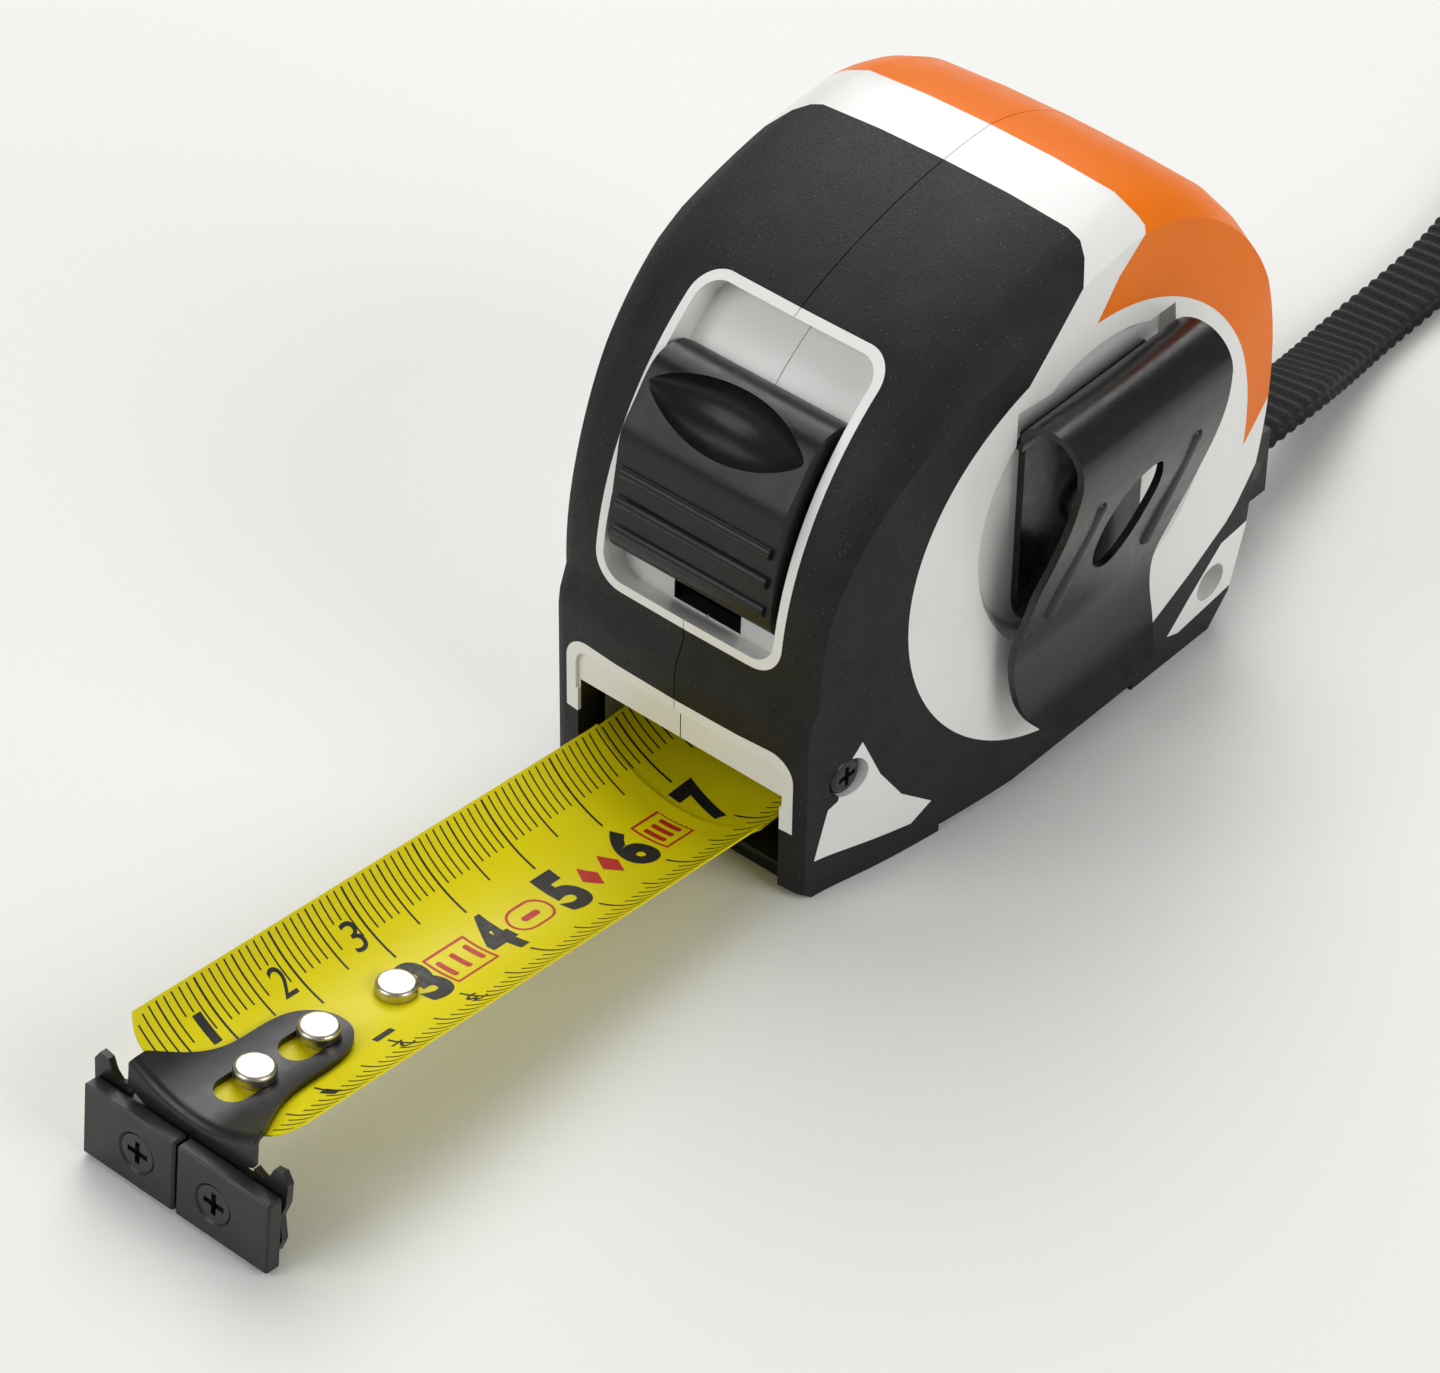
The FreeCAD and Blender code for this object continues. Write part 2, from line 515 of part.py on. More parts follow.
def turned_body(name, half_profile):
    """PartDesign body turned about the reel axis from (radius, x) points, then set at the reel centre."""
    body = doc.addObject("PartDesign::Body", name)
    sketch = body.newObject("Sketcher::SketchObject", name + "_profile")
    sketch.AttachmentSupport = (origin_plane(body, "XY_Plane"), [""])
    sketch.MapMode = "FlatFace"
    pts = half_profile + half_profile[:1]
    for (r0, x0), (r1, x1) in zip(pts, pts[1:]):
        sketch.addGeometry(Part.LineSegment(V(x0, r0, 0), V(x1, r1, 0)), False)
    turn = body.newObject("PartDesign::Revolution", name + "_turn")
    turn.Profile = sketch
    turn.ReferenceAxis = (sketch, ["H_Axis"])
    turn.Angle = 360
    body.Tip = turn
    body.Placement = FreeCAD.Placement(V(0, RY, RZ), FreeCAD.Rotation())
    doc.recompute()
    return body


SCREW_BORE_END = 10.5
spindle = turned_body("Spindle", [(0, -SPINDLE_HALF), (0, SCREW_BORE_END), (CLIP_SCREW_R, SCREW_BORE_END),
                                  (CLIP_SCREW_R, SPINDLE_HALF), (SPINDLE_R, SPINDLE_HALF),
                                  (SPINDLE_R, -SPINDLE_HALF)])
keep(spindle, "spindle")
DR = D["drum_radius"]
FLANGE_R, FLANGE_OUT, FLANGE_IN = 19.0, 13.6, 12.85
drum = turned_body("Drum", [(SPINDLE_R + 0.06, -FLANGE_OUT), (FLANGE_R, -FLANGE_OUT), (FLANGE_R, -FLANGE_IN),
                            (DR, -FLANGE_IN), (DR, FLANGE_IN), (FLANGE_R, FLANGE_IN), (FLANGE_R, FLANGE_OUT),
                            (DR - 1.2, FLANGE_OUT), (DR - 1.2, -12.4), (SPINDLE_R + 0.06, -12.4)])
keep(drum, "drum")
coil = turned_body("Coil", [(DR + 0.06, -12.5), (D["coil_radius"], -12.5), (D["coil_radius"], 12.5),
                            (DR + 0.06, 12.5)])
keep(coil, "blade_coil")


def spiral_strip(r0, r1, turns, thick, x0, x1):
    """Flat spiral spring about the reel axis: a strip between two spiral curves."""
    sides = []
    for offset in (0.0, thick):
        pts = []
        for i in range(turns * 10 + 1):
            a = 2 * math.pi * i / 10
            r = r0 + (r1 - r0) * i / (turns * 10) + offset
            pts.append(V(x0, RY + r * math.cos(a), RZ + r * math.sin(a)))
        curve = Part.BSplineCurve()
        curve.interpolate(pts)
        sides.append((curve.toShape(), pts))
    (inner, p_in), (outer_side, p_out) = sides
    wire = Part.Wire([inner, Part.LineSegment(p_in[-1], p_out[-1]).toShape(), outer_side,
                      Part.LineSegment(p_out[0], p_in[0]).toShape()])
    return Part.Face(wire).extrude(V(x1 - x0, 0, 0))


feature("return_spring", solid_of(spiral_strip(SPINDLE_R + 0.02, DR - 1.7, 5, 0.3, -11.4, 11.4)))

# ---------------------------------------------------------------- screws
def pan_screw(x_seat, y, z, radius, head, shank, length):
    """Pan head screw along X, its head outwards from x_seat."""
    body = xcyl(radius, x_seat, x_seat + head, y, z)
    body = round_edges(body, head * 0.4, lambda e: e.BoundBox.XMin > x_seat + head - 1e-6)
    body = body.fuse(xcyl(shank, x_seat - length, x_seat, y, z))
    return solid_of(body.cut(cross_slot(V(x_seat + head, y, z), V(1, 0, 0), radius * 0.58, head * 0.55)))


case_screws = [
    pan_screw(15.6, *FRONT_SCREW, D["screw_head_r"], 1.5, 1.2, 24.0),
    pan_screw(14.6, *REAR_SCREW, D["screw_head_r"] - 0.1, 1.5, 1.2, 2.5),
]
feature("case_screws", Part.makeCompound(case_screws))
PLATE_X = DISH_FLOOR + 0.04
feature("clip_screw", pan_screw(PLATE_X + D["clip_sheet"], RY, RZ, 2.6, 1.1, 1.2, 8.0))

# ---------------------------------------------------------------- belt clip
CF, CW, CS = D["clip_front"], D["clip_width"], D["clip_sheet"]
BX, BZ, BR = D["clip_bend_x"], D["clip_bend_z"], D["clip_bend_r"]
plate = box(PLATE_X, PLATE_X + CS, -6.2, 13.6, 18.6, BZ + 0.3)
plate = round_edges(plate, 6.0, lambda e: abs(e.BoundBox.XLength - CS) < 1e-6 and e.BoundBox.ZMax < 20)
plate = plate.cut(xcyl(1.5, 10, 30, RY, RZ))
feature("belt_clip_plate", solid_of(plate))


def clip_strip(points_out, points_in):
    """Closed (x, z) outline from two smooth lines, swept across the clip's width."""
    edges = []
    for pts in (points_out, points_in):
        curve = Part.BSplineCurve()
        curve.interpolate([V(x, CF, z) for x, z in pts])
        edges.append(curve.toShape())
    (a0, a1), (b0, b1) = (points_out[0], points_out[-1]), (points_in[0], points_in[-1])
    edges.insert(1, Part.LineSegment(V(a1[0], CF, a1[1]), V(b0[0], CF, b0[1])).toShape())
    edges.append(Part.LineSegment(V(b1[0], CF, b1[1]), V(a0[0], CF, a0[1])).toShape())
    return Part.Face(Part.Wire(edges)).extrude(V(0, CW, 0))


LEAF_LINE = [(BX + BR - CS / 2, BZ), (27.5, 37.2), (25.4, 30.0), (23.6, 23.6), (22.75, 19.4), (23.1, 16.0),
             (24.3, 12.8), (26.3, 10.2)]


def offset_line(points, amount):
    """Polyline points moved sideways by amount, to the left of their direction."""
    moved = []
    for i, (x, z) in enumerate(points):
        a = points[max(i - 1, 0)]
        b = points[min(i + 1, len(points) - 1)]
        dx, dz = b[0] - a[0], b[1] - a[1]
        n = math.hypot(dx, dz)
        moved.append((x - dz / n * amount, z + dx / n * amount))
    moved[0] = (points[0][0] + amount, points[0][1])
    return moved


leaf = clip_strip(offset_line(LEAF_LINE, CS / 2), offset_line(LEAF_LINE, -CS / 2)[::-1])
roll = Part.makeCylinder(BR, CW, V(BX, CF, BZ), V(0, 1, 0)).cut(
    Part.makeCylinder(BR - CS, CW, V(BX, CF, BZ), V(0, 1, 0)))
roll = roll.cut(box(BX - BR - 1, BX + BR + 1, CF - 1, CF + CW + 1, BZ - BR - 1, BZ))
leaf = leaf.fuse(roll)


def smooth_prism(points, x0, x1):
    """Closed smooth outline through (y, z) points, swept along X."""
    curve = Part.BSplineCurve()
    curve.interpolate([V(x0, y, z) for y, z in points], True)
    return Part.Face(Part.Wire([curve.toShape()])).extrude(V(x1 - x0, 0, 0))


LEAF_SIDES = [(-8.1, 52.0), (-8.1, 43.6), (-9.4, 36.6), (-10.2, 30.0), (-10.0, 21.0), (-9.4, 9.0),
              (11.0, 9.0), (12.4, 20.0), (14.4, 29.0), (15.4, 41.0), (15.6, 52.0)]
LEAF_LOW = 9.6
leaf_outline = prism_x(LEAF_SIDES, 15, 45).common(box(15, 45, -30, 30, LEAF_LOW, 60))
leaf_outline = round_edges(leaf_outline, 6.0, lambda e: abs(e.BoundBox.XLength - 30) < 1e-6
                           and e.BoundBox.ZMax < LEAF_LOW + 0.1)
leaf = leaf.common(leaf_outline)
LEAF_HOLE = [(5.6, 38.9), (6.3, 36.4), (5.9, 31.9), (4.4, 27.9), (2.2, 26.3), (-0.3, 27.6), (-2.0, 31.4),
             (-1.7, 36.2), (0.4, 38.7), (3.2, 39.6)]
leaf = leaf.cut(smooth_prism(LEAF_HOLE, 20, 36))
RIB_R = 1.2
for top, foot in ((V(27.8, -3.9, 40.0), V(23.6, -6.4, 24.4)), (V(27.8, 11.3, 40.0), V(23.6, 9.0, 24.4))):
    run = top - foot
    rib = Part.makeCylinder(RIB_R, run.Length, foot, run)
    rib = round_edges(rib, RIB_R * 0.9, lambda e: e.BoundBox.ZLength < 2 * RIB_R)
    leaf = leaf.fuse(rib)
feature("belt_clip_leaf", solid_of(leaf))

# ---------------------------------------------------------------- thumb lock
BUTTON_HALF = 10.4
SCOOP_HALF, SCOOP_DEEP = 10.35, 3.9


def polar(angle, radius):
    a = math.radians(angle)
    return (CY + radius * math.cos(a), CZ + radius * math.sin(a))


FLOOR = D["track_radius"] + 0.15
top_line = [(134.3, 33.4), (136.2, 35.4), (139.0, 36.6), (142.0, 36.9), (147.0, 37.0), (151.5, 37.2),
            (155.0, 36.6), (160.0, 35.9), (166.0, 35.3), (171.0, 34.8), (173.2, 33.6)]
knots = [V(-BUTTON_HALF, *polar(a, r)) for a, r in top_line]
upper = Part.BSplineCurve()
upper.interpolate(knots)
low_a, low_b = V(-BUTTON_HALF, *polar(173.4, FLOOR)), V(-BUTTON_HALF, *polar(134.0, FLOOR))
low_mid = V(-BUTTON_HALF, *polar(153.7, FLOOR))
button_face = Part.Face(Part.Wire([
    upper.toShape(), Part.LineSegment(knots[-1], low_a).toShape(), Part.Arc(low_a, low_mid, low_b).toShape(),
    Part.LineSegment(low_b, knots[0]).toShape()]))
button = button_face.extrude(V(2 * BUTTON_HALF, 0, 0))
scoop_arc = Part.Arc(V(-SCOOP_HALF, 0, 0), V(0, SCOOP_DEEP, 0), V(SCOOP_HALF, 0, 0)).toShape()
scoop_base = Part.LineSegment(V(SCOOP_HALF, 0, 0), V(-SCOOP_HALF, 0, 0)).toShape()
scoop = Part.Face(Part.Wire([scoop_arc, scoop_base])).revolve(V(0, 0, 0), V(1, 0, 0), 360)
scoop.translate(V(0, *polar(142.5, 37.4)))
button = button.cut(scoop)
for rib_angle, rib_r in ((168.0, 34.95), (162.7, 35.45), (157.5, 36.05)):
    y, z = polar(rib_angle, rib_r)
    button = button.fuse(xcyl(0.7, -BUTTON_HALF + 0.8, BUTTON_HALF - 0.8, y, z))
feature("lock_button", solid_of(button))
stem = sector(28.0, FLOOR, 156.0, 168.0, TONGUE_HALF - 0.4)
nose = prism_x([(-26.5, 32.2), (-20.75, 30.1), (-20.75, 33.0), (-25.0, 36.5)], -TONGUE_HALF + 0.4,
               TONGUE_HALF - 0.4)
feature("lock_tongue", solid_of(stem.fuse(nose)))
shoe = prism_x([(-20.6, 25.5), (-20.6, 30.0), (-18.8, 33.9), (-14.0, 33.9), (-14.0, 25.5)],
               -TONGUE_HALF + 0.4, TONGUE_HALF - 0.4)
feature("brake_shoe", solid_of(shoe.cut(xcyl(D["coil_radius"] + 0.18, -10, 10, RY, RZ))))

# ---------------------------------------------------------------- strap
lug = box(*LUG)
lug = lug.makeChamfer(1.4, [e for e in lug.Edges if e.BoundBox.YMin > LUG[3] - 1e-6])
PIN_Y, PIN_Z = 42.6, 8.0
lug = lug.cut(xcyl(D["pin_radius"], 0, 20, PIN_Y, PIN_Z))
feature("strap_lug", solid_of(lug))
pin = doc.addObject("Part::Cylinder", "StrapPin")
pin.setExpression("Radius", "Sizes.pin_radius")
pin.Height = LUG[1] - LUG[0]
pin.Placement = FreeCAD.Placement(V(LUG[0], PIN_Y, PIN_Z), FreeCAD.Rotation(V(0, 1, 0), 90))
doc.recompute()
keep(pin, "strap_pin")


def cord_tube(points, radius, label):
    """Straight runs joined by tangent arcs, swept with a round section."""
    pts = [V(*p) for p in points]
    edges = []
    start = pts[0]
    radii = []
    for a, b, c in zip(pts, pts[1:], pts[2:]):
        d0, d1 = (b - a), (c - b)
        turn = d0.getAngle(d1)
        shorter = min(d0.Length, d1.Length)
        cut = 0.45 * shorter
        radii.append(round(cut / math.tan(turn / 2), 1))
        d0.normalize()
        d1.normalize()
        p0, p1 = b - d0 * cut, b + d1 * cut
        bis = d1 - d0
        bis.normalize()
        r = cut / math.tan(turn / 2)
        mid = b + bis * (math.hypot(r, cut) - r)
        edges.append(Part.LineSegment(start, p0).toShape())
        edges.append(Part.Arc(p0, mid, p1).toShape())
        start = p1
    edges.append(Part.LineSegment(start, pts[-1]).toShape())
    path = Part.Wire(edges)
    first = pts[1] - pts[0]
    ring = Part.Wire([Part.Circle(pts[0], first, radius).toShape()])
    tube = path.makePipeShell([ring], True, False)
    expected = math.pi * radius ** 2 * path.Length
    print(f"{label}: length {path.Length:.1f} volume {tube.Volume:.0f} expected {expected:.0f} radii {radii}")
    return tube


STRAP_PATH = [(8.7, 46.4, 7.8), (8.7, 56.0, 7.8), (7.9, 69.0, 4.3), (5.0, 86.0, 4.05), (0.8, 105.0, 4.05),
              (-5.4, 126.0, 4.05), (-8.0, 148.0, 4.05), (-5.4, 170.0, 4.05), (1.0, 188.0, 4.05)]
feature("wrist_strap", cord_tube(STRAP_PATH, D["strap_width"] / 2, "wrist strap"))

# ---------------------------------------------------------------- check and write
doc.recompute()
for obj in doc.Objects:
    if "Invalid" in obj.State or "Error" in obj.State:
        raise RuntimeError(f"{obj.Name} failed: {obj.State}")
for obj in NODES:
    shape = obj.Shape
    if shape.isNull() or not shape.isValid():
        raise RuntimeError(f"{obj.Label} has no valid shape")
    shape.exportStep(f"parts/{obj.Label}.step")
    b = shape.BoundBox
    print(f"{obj.Label:20s} vol {shape.Volume:9.1f} solids {len(shape.Solids)} X {b.XMin:.1f}..{b.XMax:.1f} "
          f"Y {b.YMin:.1f}..{b.YMax:.1f} Z {b.ZMin:.1f}..{b.ZMax:.1f}")
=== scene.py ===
"""Looks for the pocket tape measure: camera, wrist strap, printed scale, materials, floor and light."""
import json
import math

import bmesh
import bpy
from mathutils import Matrix, Vector


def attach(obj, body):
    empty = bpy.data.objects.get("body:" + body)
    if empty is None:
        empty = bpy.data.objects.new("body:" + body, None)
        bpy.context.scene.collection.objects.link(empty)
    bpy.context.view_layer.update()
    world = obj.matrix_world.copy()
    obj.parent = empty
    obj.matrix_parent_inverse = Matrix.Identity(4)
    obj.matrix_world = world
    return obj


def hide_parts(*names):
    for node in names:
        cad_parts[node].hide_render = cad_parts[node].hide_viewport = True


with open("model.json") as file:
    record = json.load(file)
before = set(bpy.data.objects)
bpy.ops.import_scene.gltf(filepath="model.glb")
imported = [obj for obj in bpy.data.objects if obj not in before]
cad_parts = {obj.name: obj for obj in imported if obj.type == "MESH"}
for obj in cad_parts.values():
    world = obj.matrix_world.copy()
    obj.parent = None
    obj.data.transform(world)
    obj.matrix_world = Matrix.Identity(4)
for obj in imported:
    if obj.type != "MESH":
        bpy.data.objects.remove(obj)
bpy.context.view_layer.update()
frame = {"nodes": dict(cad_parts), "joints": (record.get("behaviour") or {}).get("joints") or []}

MM = 0.001
NODES = frame["nodes"]


# ---------------------------------------------------------------- camera
def add_camera():
    """Long lens looking down on the front right of the tape, slightly rolled."""
    azimuth, elevation, roll = (math.radians(a) for a in (40.405, 40.955, 0.812))
    target = Vector((-0.268, -27.222, 14.740)) * MM
    distance = 0.56239
    back = Vector((math.sin(azimuth) * math.cos(elevation), -math.cos(azimuth) * math.cos(elevation),
                   math.sin(elevation)))
    level = (-back).cross(Vector((0, 0, 1))).normalized()
    upright = level.cross(-back)
    right = level * math.cos(roll) + upright * math.sin(roll)
    up = upright * math.cos(roll) - level * math.sin(roll)
    data = bpy.data.cameras.new("camera")
    data.lens = 141.07
    data.sensor_width = 36.0
    data.clip_start = 0.01
    data.clip_end = 20.0
    camera = bpy.data.objects.new("camera", data)
    bpy.context.collection.objects.link(camera)
    camera.matrix_world = Matrix.Translation(target + back * distance) @ Matrix(
        (right, up, back)).transposed().to_4x4()
    bpy.context.scene.camera = camera


add_camera()


# ---------------------------------------------------------------- node and mesh helpers
def shader(name, colour, roughness, metallic=0.0, specular=0.5, coat=0.0, coat_roughness=0.1):
    """New material and its principled shader, with the even values set on its own sockets."""
    material = bpy.data.materials.new(name)
    material.use_nodes = True
    surface = material.node_tree.nodes["Principled BSDF"]
    surface.inputs["Base Color"].default_value = (*colour, 1)
    surface.inputs["Roughness"].default_value = roughness
    surface.inputs["Metallic"].default_value = metallic
    surface.inputs["Specular IOR Level"].default_value = specular
    surface.inputs["Coat Weight"].default_value = coat
    surface.inputs["Coat Roughness"].default_value = coat_roughness
    return material, material.node_tree, surface


def object_point(tree, stretch=(1, 1, 1)):
    """Object coordinates, which are the row frame at rest, stretched along each axis."""
    place = tree.nodes.new("ShaderNodeTexCoord")
    mapping = tree.nodes.new("ShaderNodeMapping")
    mapping.inputs["Scale"].default_value = stretch
    tree.links.new(place.outputs["Object"], mapping.inputs["Vector"])
    return mapping.outputs["Vector"]


def noise(tree, scale, detail=3.0, stretch=(1, 1, 1), rough=0.5):
    """Noise of the given number of features per metre."""
    texture = tree.nodes.new("ShaderNodeTexNoise")
    texture.inputs["Scale"].default_value = scale
    texture.inputs["Detail"].default_value = detail
    texture.inputs["Roughness"].default_value = rough
    tree.links.new(object_point(tree, stretch), texture.inputs["Vector"])
    return texture.outputs["Fac"]


def ramp(tree, source, stops):
    """Colour ramp through (position, colour) stops."""
    node = tree.nodes.new("ShaderNodeValToRGB")
    elements = node.color_ramp.elements
    while len(elements) < len(stops):
        elements.new(0.5)
    for element, (position, colour) in zip(elements, stops):
        element.position = position
        element.color = (*colour, 1)
    tree.links.new(source, node.inputs["Fac"])
    return node.outputs["Color"]


def grey_ramp(tree, source, low, high):
    """Ramp from one plain value to another, for roughness."""
    return ramp(tree, source, [(0.3, (low,) * 3), (0.7, (high,) * 3)])


def bump(tree, surface, height, strength, distance):
    """Bump on the surface from a height, with the distance in metres."""
    node = tree.nodes.new("ShaderNodeBump")
    node.inputs["Strength"].default_value = strength
    node.inputs["Distance"].default_value = distance
    tree.links.new(height, node.inputs["Height"])
    tree.links.new(node.outputs["Normal"], surface.inputs["Normal"])


def blend(tree, factor, colour, other):
    """The colour where the factor is 0, and the other plain colour where it is 1."""
    mix = tree.nodes.new("ShaderNodeMix")
    mix.data_type = "RGBA"
    tree.links.new(factor, mix.inputs["Factor"])
    tree.links.new(colour, mix.inputs["A"])
    mix.inputs["B"].default_value = (*other, 1)
    return mix.outputs["Result"]


def inside_box(tree, low, high):
    """1 inside the box from low to high, in metres of the object's own coordinates, and 0 outside."""
    split = tree.nodes.new("ShaderNodeSeparateXYZ")
    tree.links.new(object_point(tree), split.inputs["Vector"])
    product = None
    for axis in range(3):
        for operation, limit in (("GREATER_THAN", low[axis]), ("LESS_THAN", high[axis])):
            test = tree.nodes.new("ShaderNodeMath")
            test.operation = operation
            tree.links.new(split.outputs[axis], test.inputs[0])
            test.inputs[1].default_value = limit
            if product is None:
                product = test.outputs[0]
                continue
            both = tree.nodes.new("ShaderNodeMath")
            both.operation = "MULTIPLY"
            tree.links.new(product, both.inputs[0])
            tree.links.new(test.outputs[0], both.inputs[1])
            product = both.outputs[0]
    return product


def new_object(name, vertices, faces, material):
    """New smooth-shaded mesh object with one material."""
    mesh = bpy.data.meshes.new(name)
    mesh.from_pydata(vertices, [], faces)
    for polygon in mesh.polygons:
        polygon.use_smooth = True
    mesh.update()
    piece = bpy.data.objects.new(name, mesh)
    bpy.context.collection.objects.link(piece)
    mesh.materials.append(material)
    return piece


# ---------------------------------------------------------------- materials
# painted shade: black laid on the white plastic where the inside of the case lies in shadow
PAINTED_SHADE_BLACK = (0.012, 0.012, 0.012)
DUST = (0.10, 0.10, 0.10)
DUST_PER_METRE, DUST_REACH = 1500, 0.085


def moulded(name, light, dark, roughness, grain=0.06, coat=0.0, specular=0.5, painted_shade_boxes=()):
    """Moulded plastic: faint clouds in colour and gloss, very fine grain, and painted shade: black in the
    given boxes.
    """
    material, tree, surface = shader(name, light, roughness, specular=specular, coat=coat)
    colour = ramp(tree, noise(tree, 90, 4), [(0.3, dark), (0.7, light)])
    # painted shade: the plastic turns black inside each of these boxes
    for low, high in painted_shade_boxes:
        colour = blend(tree, inside_box(tree, low, high), colour, PAINTED_SHADE_BLACK)
    tree.links.new(colour, surface.inputs["Base Color"])
    tree.links.new(grey_ramp(tree, noise(tree, 350, 4), roughness - 0.05, roughness + 0.06),
                   surface.inputs["Roughness"])
    bump(tree, surface, noise(tree, 2600, 2), grain, 0.00006)
    return material


def rubber(name):
    """Overmoulded rubber: spark-eroded grain with a few pale specks of dust."""
    material, tree, surface = shader(name, (0.012, 0.012, 0.013), 0.5, specular=0.26)
    grain = noise(tree, 3600, 3, rough=0.65)
    base = ramp(tree, noise(tree, 240, 5),
                [(0.3, (0.0075, 0.0075, 0.008)), (0.7, (0.0135, 0.0135, 0.0145))])
    specks = tree.nodes.new("ShaderNodeTexVoronoi")
    specks.inputs["Scale"].default_value = DUST_PER_METRE
    tree.links.new(object_point(tree), specks.inputs["Vector"])
    sparse = tree.nodes.new("ShaderNodeMath")
    sparse.operation = "LESS_THAN"
    tree.links.new(specks.outputs["Distance"], sparse.inputs[0])
    sparse.inputs[1].default_value = DUST_REACH
    tree.links.new(blend(tree, sparse.outputs[0], base, DUST), surface.inputs["Base Color"])
    tree.links.new(grey_ramp(tree, grain, 0.44, 0.62), surface.inputs["Roughness"])
    bump(tree, surface, grain, 0.55, 0.00010)
    return material


def painted_steel(name, colour, roughness, coat=0.08):
    """Black painted sheet: satin film with a trace of orange peel."""
    material, tree, surface = shader(name, colour, roughness, specular=0.42, coat=coat, coat_roughness=0.22)
    tree.links.new(grey_ramp(tree, noise(tree, 500, 4), roughness - 0.05, roughness + 0.08),
                   surface.inputs["Roughness"])
    bump(tree, surface, noise(tree, 1500, 3), 0.10, 0.00005)
    return material


def bare_metal(name, colour, roughness, scratch=(1, 1, 1)):
    """Bare or plated metal with fine scratches along one direction."""
    material, tree, surface = shader(name, colour, roughness, metallic=1.0)
    lines = noise(tree, 900, 4, stretch=scratch)
    tree.links.new(grey_ramp(tree, lines, roughness - 0.08, roughness + 0.12), surface.inputs["Roughness"])
    bump(tree, surface, lines, 0.12, 0.00004)
    return material


def blade_coating(name):
    """Yellow lacquer on the steel ribbon, a little uneven along its length."""
    material, tree, surface = shader(name, (0.74, 0.66, 0.004), 0.40, specular=0.22)
    drift = noise(tree, 70, 4, stretch=(1, 0.35, 1))
    tree.links.new(ramp(tree, drift, [(0.3, (0.68, 0.585, 0.002)), (0.7, (0.78, 0.68, 0.003))]),
                   surface.inputs["Base Color"])
    tree.links.new(grey_ramp(tree, noise(tree, 600, 3), 0.32, 0.44), surface.inputs["Roughness"])
    bump(tree, surface, noise(tree, 2400, 3), 0.08, 0.00005)
    return material


def ink(name, colour):
    """Printing ink, slightly duller than the lacquer under it."""
    material, tree, surface = shader(name, colour, 0.5)
    tree.links.new(grey_ramp(tree, noise(tree, 1500, 3), 0.42, 0.58), surface.inputs["Roughness"])
    return material


def webbing(name):
    """Woven strap yarn: soft sheen and a fine fibre grain."""
    material, tree, surface = shader(name, (0.008, 0.008, 0.009), 0.75, specular=0.2)
    surface.inputs["Sheen Weight"].default_value = 0.12
    surface.inputs["Sheen Roughness"].default_value = 0.5
    fibre = noise(tree, 2400, 4)
    tree.links.new(ramp(tree, fibre, [(0.3, (0.004, 0.004, 0.0045)), (0.7, (0.014, 0.014, 0.015))]),
                   surface.inputs["Base Color"])
    bump(tree, surface, fibre, 0.5, 0.00015)
    return material


# low and high corners of the mouth, the hollow behind it and the lock's slot, in metres; the white plastic
# inside them is painted black as painted shade
CASE_INSIDE_PAINTED_SHADE = [((-0.0139, -0.0335, -0.001), (0.0139, 0.030, 0.0247)),
               ((-0.0178, -0.0215, 0.0012), (0.0178, 0.020, 0.0247)),
               ((-0.00432, -0.0300, 0.02566), (0.00432, -0.010, 0.0440))]
# the white plastic carries painted shade: black inside the mouth, the hollow behind it and the lock's slot
WHITE = moulded("white_moulded_plastic", (0.84, 0.84, 0.82), (0.79, 0.79, 0.765), 0.33, 0.05, coat=0.12,
                painted_shade_boxes=CASE_INSIDE_PAINTED_SHADE)
ORANGE = moulded("orange_moulded_plastic", (0.86, 0.185, 0.004), (0.82, 0.17, 0.003), 0.40, 0.05,
                 specular=0.18)
RUBBER = rubber("black_overmoulded_rubber")
BUTTON = moulded("black_button_plastic", (0.008, 0.008, 0.009), (0.005, 0.005, 0.006), 0.33, 0.22,
                 specular=0.32)
LUG_PLASTIC = moulded("black_lug_plastic", (0.010, 0.010, 0.011), (0.007, 0.007, 0.008), 0.45, 0.2,
                      specular=0.3)
DRUM_PLASTIC = moulded("grey_drum_plastic", (0.16, 0.16, 0.17), (0.12, 0.12, 0.13), 0.42, 0.1)
HOOK_STEEL = painted_steel("black_hook_steel", (0.007, 0.007, 0.008), 0.34)
CLIP_STEEL = painted_steel("black_clip_steel", (0.006, 0.006, 0.007), 0.27, coat=0.15)
MAGNET = painted_steel("black_magnet_coating", (0.012, 0.012, 0.013), 0.42, coat=0.1)
SCREW = painted_steel("black_screw_steel", (0.014, 0.014, 0.015), 0.30)
RIVET = bare_metal("bright_rivet_metal", (0.50, 0.47, 0.41), 0.30)
SPINDLE = bare_metal("zinc_plated_steel", (0.52, 0.52, 0.53), 0.32, scratch=(0.2, 1, 1))
SPRING = bare_metal("blue_spring_steel", (0.30, 0.32, 0.36), 0.30, scratch=(1, 0.2, 0.2))
YELLOW = blade_coating("yellow_blade_lacquer")
BLACK_INK = ink("black_printing_ink", (0.010, 0.010, 0.010))
RED_INK = ink("red_printing_ink", (0.50, 0.020, 0.010))
BRAKE = moulded("brake_rubber", (0.02, 0.02, 0.02), (0.014, 0.014, 0.014), 0.6, 0.2)
STRAP_YARN = webbing("black_strap_webbing")

